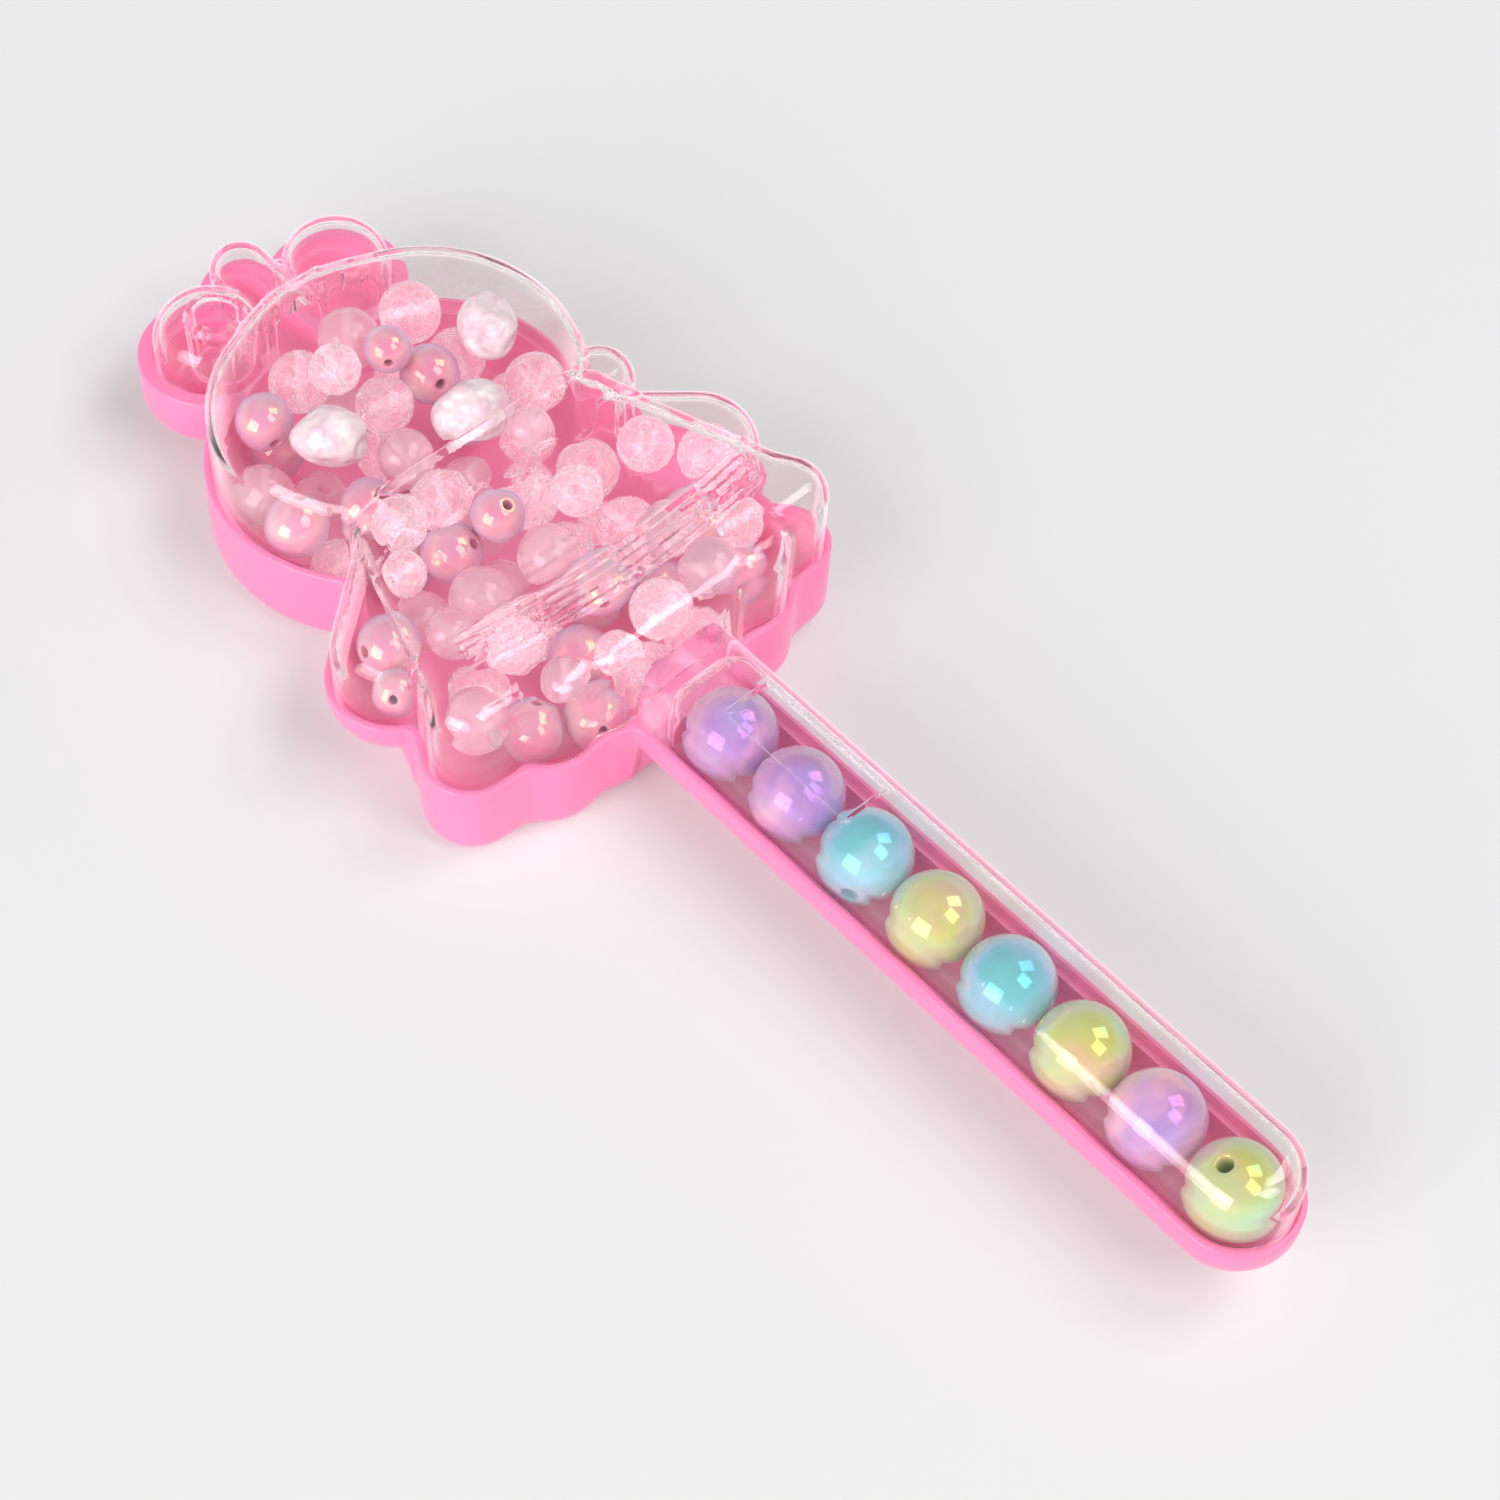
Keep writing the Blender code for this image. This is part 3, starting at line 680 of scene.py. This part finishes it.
def lets_light_by(tree, shader, shade, edge=0.0):
    """Clear plastic that dims the lamps by only this share; where it is seen edge on it turns less clear
    and wears a painted pale glow, a painted reflection.
    """
    path = node(tree, "LightPath")
    seen = node(tree, "Math", {0: path.outputs["Is Shadow Ray"], 1: path.outputs["Is Diffuse Ray"]},
                operation="MAXIMUM")
    kept = multiply_add(tree, seen.outputs[0], shade - 1.0, 1.0)
    if not edge:
        fit(tree, shader, {"Alpha": kept})
        return
    # Painted reflection: towards a grazing view the plastic turns less clear and glows whitish, with edge
    # as the glow's strength.
    facing = node(tree, "LayerWeight", {"Blend": 0.5}).outputs["Facing"]
    rim = node(tree, "MapRange", {"Value": facing, "From Min": 0.62, "From Max": 0.98},
               interpolation_type="SMOOTHSTEP").outputs[0]
    thin = multiply_add(tree, rim, -0.8, 1.0)
    left = node(tree, "Math", {0: kept, 1: thin}, operation="MULTIPLY")
    fit(tree, shader, {"Alpha": left.outputs[0]})
    painted_glow(tree, shader, blend_colours(tree, rim, (0, 0, 0, 1), (1.0, 0.93, 0.96, 1)), edge)


def tray_plastic(groups):
    """Glossy pink plastic that throws only a pale tint on what lies round it, with a painted glow that
    lifts the shade in its crevices.
    """
    material, tree, shader = new_material("tray_plastic")
    look = place_group(tree, groups["moulded"], {
        "Colour": (0.935, 0.240, 0.450, 1), "Deep": (0.905, 0.215, 0.420, 1), "Roughness": 0.26,
        "Flow Scale": 35.0, "Grain Scale": 1400.0})
    path = node(tree, "LightPath")
    spill = node(tree, "Math", {0: path.outputs["Is Diffuse Ray"], 1: 0.6}, operation="MULTIPLY")
    passed = blend_colours(tree, spill.outputs[0], look.outputs["Colour"], (0.85, 0.74, 0.79, 1))
    fit(tree, shader, {
        "Base Color": passed, "Roughness": look.outputs["Roughness"], "Subsurface Weight": 0.12,
        "Subsurface Radius": (1.0, 0.35, 0.5), "Subsurface Scale": 0.002, "Coat Weight": 0.15})
    # Painted glow: a faint pink emission brightens the tray where it lies in shade, deep in the channels
    # between the beads.
    painted_glow(tree, shader, look.outputs["Colour"], 0.13)
    add_bump(tree, shader, look.outputs["Height"], 0.00012)
    return material


def clear_plastic(groups, name, colour, shade, roughness, ior, coat, through=1.0, edge=0.0):
    """Clear plastic under a hard gloss coat; shade and edge are as in lets_light_by, where edge sets its
    painted pale glow seen edge on.
    """
    material, tree, shader = new_material(name)
    look = place_group(tree, groups["moulded"], {
        "Colour": colour, "Deep": tuple(c * 0.985 for c in colour[:3]) + (1,),
        "Flow Scale": 55.0, "Grain Scale": 600.0})
    fit(tree, shader, {
        "Base Color": look.outputs["Colour"], "Roughness": roughness, "Transmission Weight": through,
        "IOR": ior, "Coat Weight": coat, "Coat Roughness": 0.02, "Coat IOR": 1.5})
    add_bump(tree, shader, look.outputs["Height"], 0.0001)
    lets_light_by(tree, shader, shade, edge)
    return material


def pearl(groups, name, colour, warm, cool, film, scale=110.0):
    """Pearl lacquer under a clear coat, with an iridescent film of this thickness in nanometres."""
    material, tree, shader = new_material(name)
    look = place_group(tree, groups["pearl"], {
        "Colour": colour, "Warm": warm, "Cool": cool, "Scale": scale, "Roughness": 0.05})
    fit(tree, shader, {
        "Base Color": look.outputs["Colour"], "Roughness": look.outputs["Roughness"], "IOR": 2.35,
        "Thin Film Thickness": film, "Thin Film IOR": 1.4, "Coat Weight": 0.8, "Coat Roughness": 0.03,
        "Sheen Weight": 0.25})
    add_bump(tree, shader, look.outputs["Height"], 0.00004)
    return material


def crackled(groups, name, colour):
    material, tree, shader = new_material(name)
    look = place_group(tree, groups["crackle"], {"Scale": 430.0, "Width": 0.10})
    tint = blend_colours(tree, look.outputs["Cracks"], colour, (1.0, 0.92, 0.95, 1))
    fit(tree, shader, {
        "Base Color": tint, "Roughness": multiply_add(tree, look.outputs["Cracks"], 0.5, 0.03),
        "Transmission Weight": 0.8, "IOR": 1.33, "Coat Weight": 0.6})
    # Painted glow: a faint emission of the tint lifts the beads where they lie in shade.
    painted_glow(tree, shader, tint, 0.10)
    add_bump(tree, shader, look.outputs["Height"], 0.0005)
    lets_light_by(tree, shader, 0.2)
    return material


def milky(groups):
    material, tree, shader = new_material("milky_plastic")
    look = place_group(tree, groups["pearl"], {
        "Colour": (0.94, 0.74, 0.80, 1), "Warm": (0.97, 0.88, 0.86, 1), "Cool": (0.92, 0.62, 0.74, 1),
        "Scale": 420.0, "Roughness": 0.28})
    fit(tree, shader, {
        "Base Color": look.outputs["Colour"], "Roughness": look.outputs["Roughness"],
        "Subsurface Weight": 0.35, "Subsurface Radius": (1.0, 0.7, 0.8), "Subsurface Scale": 0.003,
        "Coat Weight": 0.5})
    add_bump(tree, shader, look.outputs["Height"], 0.0016)
    return material


def make_materials():
    groups = {"moulded": moulded_group(), "pearl": pearl_group(), "crackle": crackle_group()}
    return {
        "tray": tray_plastic(groups),
        # The cover takes a painted pale glow, a painted reflection, where it is seen edge on (edge=1.1).
        "clear": clear_plastic(groups, "clear_cover_plastic", (1.0, 0.985, 0.99, 1), shade=0.04,
                               roughness=0.0, ior=1.13, coat=1.0, edge=1.1),
        "lilac": pearl(groups, "lilac_pearl", (0.52, 0.28, 0.66, 1), (0.88, 0.46, 0.70, 1),
                       (0.42, 0.38, 0.80, 1), 300.0),
        "aqua": pearl(groups, "aqua_pearl", (0.20, 0.58, 0.62, 1), (0.52, 0.62, 0.74, 1),
                      (0.45, 0.72, 0.86, 1), 357.0),
        "yellow": pearl(groups, "yellow_pearl", (0.70, 0.64, 0.16, 1), (0.82, 0.55, 0.34, 1),
                        (0.55, 0.68, 0.34, 1), 414.0),
        "pink_pearl": pearl(groups, "pink_pearl_bead", (0.95, 0.33, 0.53, 1), (0.98, 0.50, 0.62, 1),
                            (0.93, 0.40, 0.62, 1), 440.0, 160.0),
        "crackle": crackled(groups, "crackled_clear", (1.0, 0.74, 0.83, 1)),
        "rose": clear_plastic(groups, "rose_clear", (1.0, 0.72, 0.82, 1), shade=0.1, roughness=0.03,
                              ior=1.30, coat=0.8, through=0.7),
        "milky": milky(groups),
    }


# ---------------------------------------------------------------- beads

FILL_BORE = 1.5
EXTRA_TRIALS = 30000
EXTRA_KINDS = ("crackle", "rose", "crackle", "rose", "crackle", "pink_pearl")
EXTRA_LOW, EXTRA_HIGH = (-81, -33), (-3, 33)  # corners of the part of the plan that is tried
EXTRA_RADII = (2.9, 4.2)
EXTRA_WALL_GAP, EXTRA_FLOOR_GAP, EXTRA_COVER_GAP, EXTRA_GAP = 1.2, 0.3, 0.5, 0.1


def bored_ball(radius, bore, sides=40, arcs=22):
    """Points and faces of a ball with a hole along Z whose mouth is rounded, about its centre."""
    wide, lip = bore * 1.25, bore * 0.25
    start = math.asin(min(0.9, wide / radius))
    profile = []
    for i in range(arcs + 1):
        polar = start + (math.pi - 2 * start) * i / arcs
        profile.append((radius * math.sin(polar), radius * math.cos(polar)))
    mouth = radius * math.cos(start)
    rounding = [(wide - lip * 0.7, mouth - lip * 0.3), (bore, mouth - lip)]
    profile = [(r, z) for r, z in reversed(rounding)] + profile + [(r, -z) for r, z in rounding]
    points = [(r * math.cos(2 * math.pi * s / sides), r * math.sin(2 * math.pi * s / sides), z)
              for r, z in profile for s in range(sides)]
    faces = []
    for ring in range(len(profile)):
        nxt = (ring + 1) % len(profile)
        for s in range(sides):
            t = (s + 1) % sides
            faces.append((ring * sides + s, nxt * sides + s, nxt * sides + t, ring * sides + t))
    return np.array(points), faces


def pebble(radius, rng, sides=36, arcs=20, bumps=16):
    """Points and faces of a lumpy nugget, longer along X, about its centre."""
    lumps = rng.normal(size=(bumps, 3))
    lumps /= np.linalg.norm(lumps, axis=1)[:, None]
    sizes = rng.uniform(-0.26, 0.16, size=bumps)
    points, faces = [(0, 0, 1.0)], []
    for i in range(1, arcs):
        polar = math.pi * i / arcs
        for s in range(sides):
            a = 2 * math.pi * s / sides
            points.append((math.sin(polar) * math.cos(a), math.sin(polar) * math.sin(a), math.cos(polar)))
    points = np.array(points + [(0, 0, -1.0)])
    swell = 0.95 + (np.exp(9 * (points @ lumps.T - 1)) * sizes).sum(axis=1)
    points = points * (radius * np.clip(swell, 0.7, 1.03))[:, None] * (1.0, 0.88, 0.8)
    last = len(points) - 1
    for s in range(sides):
        t = (s + 1) % sides
        faces.append((0, 1 + s, 1 + t))
        faces.append((last, last - sides + t, last - sides + s))
        for i in range(arcs - 2):
            low, high = 1 + i * sides, 1 + (i + 1) * sides
            faces.append((low + s, high + s, high + t, low + t))
    return points, faces


def aimed(direction):
    """A rotation that turns +Z to the direction."""
    return np.array(Vector(direction).to_track_quat("Z", "Y").to_matrix())


VIEW = Vector((0.4035, -0.4274, 0.8090))  # from the rattle to the camera
RIGHT = Vector((0.727, 0.686, 0.0))
UPWARD = Vector((-0.555, 0.588, 0.588))
HOLE_AIMS = {3: (-0.27, -0.78, 0.55), 8: (-0.35, 0.56, 0.75)}  # right, up, towards the front


def front_aim(right, up, front):
    return RIGHT * right + UPWARD * up + VIEW * front


def make_row(materials, rng):
    slots = {part["node"]: part["material_slot"] for part in frame["record"]["subparts"]}
    for number in range(1, ROW_COUNT + 1):
        name = f"handle_bead_{number}"
        low, high = (np.array(c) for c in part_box(name))
        points, faces = bored_ball(ROW_BEAD / 2 * MM, ROW_BORE / 2 * MM, 56, 32)
        usual = (-0.9, 0.3 * rng.normal(), 0.12 * rng.normal())
        aim = front_aim(*HOLE_AIMS.get(number, usual))
        slot = slots[name]
        bead = mesh_object(f"row_pearl_{number}", points @ aimed(aim).T + (low + high) / 2, faces,
                           materials[slot])
        show(bead, f"row_{number}", slot, name)


def make_fill(materials, rng):
    """A fine bead for each loose CAD one, and their centres and radii."""
    taken = []
    for part in frame["record"]["subparts"]:
        name, slot = part["node"], part["material_slot"]
        if not name.startswith("head_bead"):
            continue
        low, high = (np.array(c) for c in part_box(name))
        centre, radius = (low + high) / 2, (high - low).max() / 2
        taken.append((centre, radius))
        if slot == "milky":
            points, faces = pebble(radius * 1.02, rng)
        else:
            points, faces = bored_ball(radius, FILL_BORE / 2 * MM)
        turned = points @ aimed(rng.normal(size=3)).T + centre
        number = name.split("_")[-1]
        bead = mesh_object(f"loose_{slot}_{number}", turned, faces, materials[slot])
        show(bead, f"fill_{number}", slot, name)
    return taken


def bed_top(x, y):
    """Height of the loose bed's top over the plan: it lies deeper towards the head's far side."""
    return -1.5 - 0.10 * (x - 7.0) + 0.08 * y


def make_extras(plan, materials, taken, rng):
    """More loose beads in the room that is left, one mesh of each kind, made by instancing."""
    centres = np.array([c / MM + (MIDDLE_X, 0, -TRAY_DEPTH) for c, _ in taken])
    radii = np.array([r / MM for _, r in taken])
    corners = zip((*EXTRA_LOW, 0), (*EXTRA_HIGH, 1))
    trials = np.column_stack([rng.uniform(a, b, EXTRA_TRIALS) for a, b in corners])
    sizes = np.sort(rng.uniform(*EXTRA_RADII, EXTRA_TRIALS))[::-1]
    low, high = np.full(EXTRA_TRIALS, np.inf), np.full(EXTRA_TRIALS, -np.inf)
    for group in (plan["head"], plan["skirt"], plan["sleeves"]):
        wall = max(TRAY_WALL, group.ledge + COVER_WALL)
        fits = group.inset(trials[:, :2]) > wall + sizes + EXTRA_WALL_GAP
        lowest = FLOOR - group.depth + sizes + EXTRA_FLOOR_GAP
        highest = group.height - COVER_WALL - sizes - EXTRA_COVER_GAP
        low = np.where(fits, np.minimum(low, lowest), low)
        high = np.where(fits, np.maximum(high, highest), high)
    high = np.minimum(high, bed_top(trials[:, 0], trials[:, 1]))
    room = high > low
    trials[room, 2] = high[room] - trials[room, 2] ** 2 * (high - low)[room]
    found = {kind: [] for kind in EXTRA_KINDS}
    for centre, radius in zip(trials[room], sizes[room]):
        gaps = np.linalg.norm(centres - centre, axis=1) - radii - radius
        if gaps.min() > EXTRA_GAP:
            found[EXTRA_KINDS[len(radii) % len(EXTRA_KINDS)]].append((centre, radius))
            centres, radii = np.vstack([centres, centre]), np.append(radii, radius)
    for kind, places in found.items():
        if places:
            scatter(kind, places, materials[kind])


def scatter(kind, places, material):
    """One mesh with a turned and sized copy of a bored ball at each place."""
    points, faces = bored_ball(1.0, 0.18, 32, 16)
    ball = mesh_object(f"{kind}_pattern", points, faces, material)
    cloud = bpy.data.meshes.new(f"{kind}_places")
    cloud.from_pydata([tuple(place([c])[0]) for c, _ in places], [], [])
    sizes = cloud.attributes.new("radius", "FLOAT", "POINT")
    sizes.data.foreach_set("value", [r * MM for _, r in places])
    holder = bpy.data.objects.new(f"{kind}_holder", cloud)
    bpy.context.collection.objects.link(holder)
    tree = scatter_tree()
    modifier = holder.modifiers.new("scatter", "NODES")
    modifier.node_group = tree
    for name, value in (("Bead", ball), ("Material", material), ("Seed", len(places))):
        modifier[socket_id(tree, name)] = value
    made = bpy.data.meshes.new_from_object(holder.evaluated_get(bpy.context.evaluated_depsgraph_get()))
    bpy.data.objects.remove(holder)
    bpy.data.objects.remove(ball)
    show(smooth_object(f"loose_{kind}_bed", made), "fill_01", kind)


def socket_id(tree, name):
    """The identifier that a modifier knows the tree's input by."""
    return next(item.identifier for item in tree.interface.items_tree
                if item.name == name and item.in_out == "INPUT")


def scatter_tree():
    """Points in; at each a copy of the bead at the point's radius, turned at random."""
    tree = bpy.data.node_groups.get("scatter_beads")
    if tree:
        return tree
    tree = bpy.data.node_groups.new("scatter_beads", "GeometryNodeTree")
    for label, kind in (("Places", "Geometry"), ("Bead", "Object"), ("Material", "Material"),
                        ("Seed", "Int")):
        tree.interface.new_socket(label, in_out="INPUT", socket_type="NodeSocket" + kind)
    tree.interface.new_socket("Beads", in_out="OUTPUT", socket_type="NodeSocketGeometry")
    given, out = tree.nodes.new("NodeGroupInput"), tree.nodes.new("NodeGroupOutput")
    info = tree.nodes.new("GeometryNodeObjectInfo")
    tree.links.new(given.outputs["Bead"], info.inputs["Object"])
    size = tree.nodes.new("GeometryNodeInputNamedAttribute")
    size.data_type = "FLOAT"
    size.inputs["Name"].default_value = "radius"
    spin = tree.nodes.new("FunctionNodeRandomValue")
    spin.data_type = "FLOAT_VECTOR"
    spin.inputs[0].default_value = (0, 0, 0)
    spin.inputs[1].default_value = (2 * math.pi,) * 3
    tree.links.new(given.outputs["Seed"], spin.inputs["Seed"])
    copies = tree.nodes.new("GeometryNodeInstanceOnPoints")
    tree.links.new(given.outputs["Places"], copies.inputs["Points"])
    tree.links.new(info.outputs["Geometry"], copies.inputs["Instance"])
    tree.links.new(spin.outputs[0], copies.inputs["Rotation"])
    tree.links.new(size.outputs["Attribute"], copies.inputs["Scale"])
    real = tree.nodes.new("GeometryNodeRealizeInstances")
    tree.links.new(copies.outputs["Instances"], real.inputs["Geometry"])
    paint = tree.nodes.new("GeometryNodeSetMaterial")
    tree.links.new(real.outputs["Geometry"], paint.inputs["Geometry"])
    tree.links.new(given.outputs["Material"], paint.inputs["Material"])
    tree.links.new(paint.outputs["Geometry"], out.inputs["Beads"])
    return tree


# ---------------------------------------------------------------- studio

LENS, SENSOR = 76.68, 36.0
CAMERA_PLACE = (0.16949, -0.16948, 0.33399)
CAMERA_TARGET = (0.0094, 0.0001, 0.013)
CAMERA_ROLL = math.radians(4.78)
LAMP_DISTANCE = 2.0
WINDOW_SIZE, WINDOW_POWER = (0.80, 1.05), 9.5
LOW_WINDOW_SIZE, LOW_WINDOW_POWER = (1.45, 1.35), 27.0
FLOOR_HALF = 4


def make_camera():
    data = bpy.data.cameras.new("camera")
    data.lens, data.sensor_width = LENS, SENSOR
    camera = bpy.data.objects.new("camera", data)
    bpy.context.collection.objects.link(camera)
    back = (Vector(CAMERA_PLACE) - Vector(CAMERA_TARGET)).normalized()
    right = Vector((0, 0, 1)).cross(back).normalized()
    up = back.cross(right)
    turned = right * math.cos(CAMERA_ROLL) + up * math.sin(CAMERA_ROLL)
    upright = back.cross(turned)
    facing = Matrix((turned, upright, back)).transposed().to_4x4()
    camera.matrix_world = Matrix.Translation(CAMERA_PLACE) @ facing
    bpy.context.scene.camera = camera


def area_light(name, direction, size, power):
    data = bpy.data.lights.new(name, "AREA")
    data.shape = "RECTANGLE"
    data.size, data.size_y = size
    data.energy = power
    light = bpy.data.objects.new(name, data)
    bpy.context.collection.objects.link(light)
    aim = Vector(direction).normalized()
    light.location = aim * LAMP_DISTANCE
    light.rotation_euler = aim.to_track_quat("Z", "Y").to_euler()


def make_studio():
    """Pale floor, three soft windows, and a sky that is brightest at the horizon."""
    world = bpy.data.worlds.new("studio")
    world.use_nodes = True
    tree = world.node_tree
    around = node(tree, "TexCoord").outputs["Generated"]
    height = node(tree, "SeparateXYZ", {0: around}).outputs["Z"]
    dimmed = node(tree, "MapRange", {"Value": height, "From Min": 0.0, "From Max": 0.65, "To Min": 1.05,
                                     "To Max": 0.35}, interpolation_type="SMOOTHSTEP")
    fit(tree, tree.nodes["Background"], {"Color": WHITE, "Strength": dimmed.outputs[0]})
    bpy.context.scene.world = world
    bpy.context.scene.view_settings.view_transform = "Standard"
    area_light("window_left", (0.24, 0.57, 0.83), WINDOW_SIZE, WINDOW_POWER)
    area_light("window_right", (0.66, 0.16, 0.83), WINDOW_SIZE, WINDOW_POWER)
    area_light("low_window", (0.09, -0.93, 0.36), LOW_WINDOW_SIZE, LOW_WINDOW_POWER)
    corners = [(x * FLOOR_HALF, y * FLOOR_HALF, 0) for x, y in ((-1, -1), (1, -1), (1, 1), (-1, 1))]
    floor = mesh_object("floor", corners, [(0, 1, 2, 3)], paper())


def paper():
    material, tree, shader = new_material("backdrop")
    fit(tree, shader, {"Base Color": (0.85, 0.85, 0.85, 1), "Roughness": 0.9, "Specular IOR Level": 0.1})
    return material


# ---------------------------------------------------------------- build

def main():
    rng = np.random.default_rng(11)
    plan = make_plan()
    materials = make_materials()
    make_camera()
    make_studio()
    make_shells(plan, materials)
    make_row(materials, rng)
    taken = make_fill(materials, rng)
    make_extras(plan, materials, taken, rng)


main()
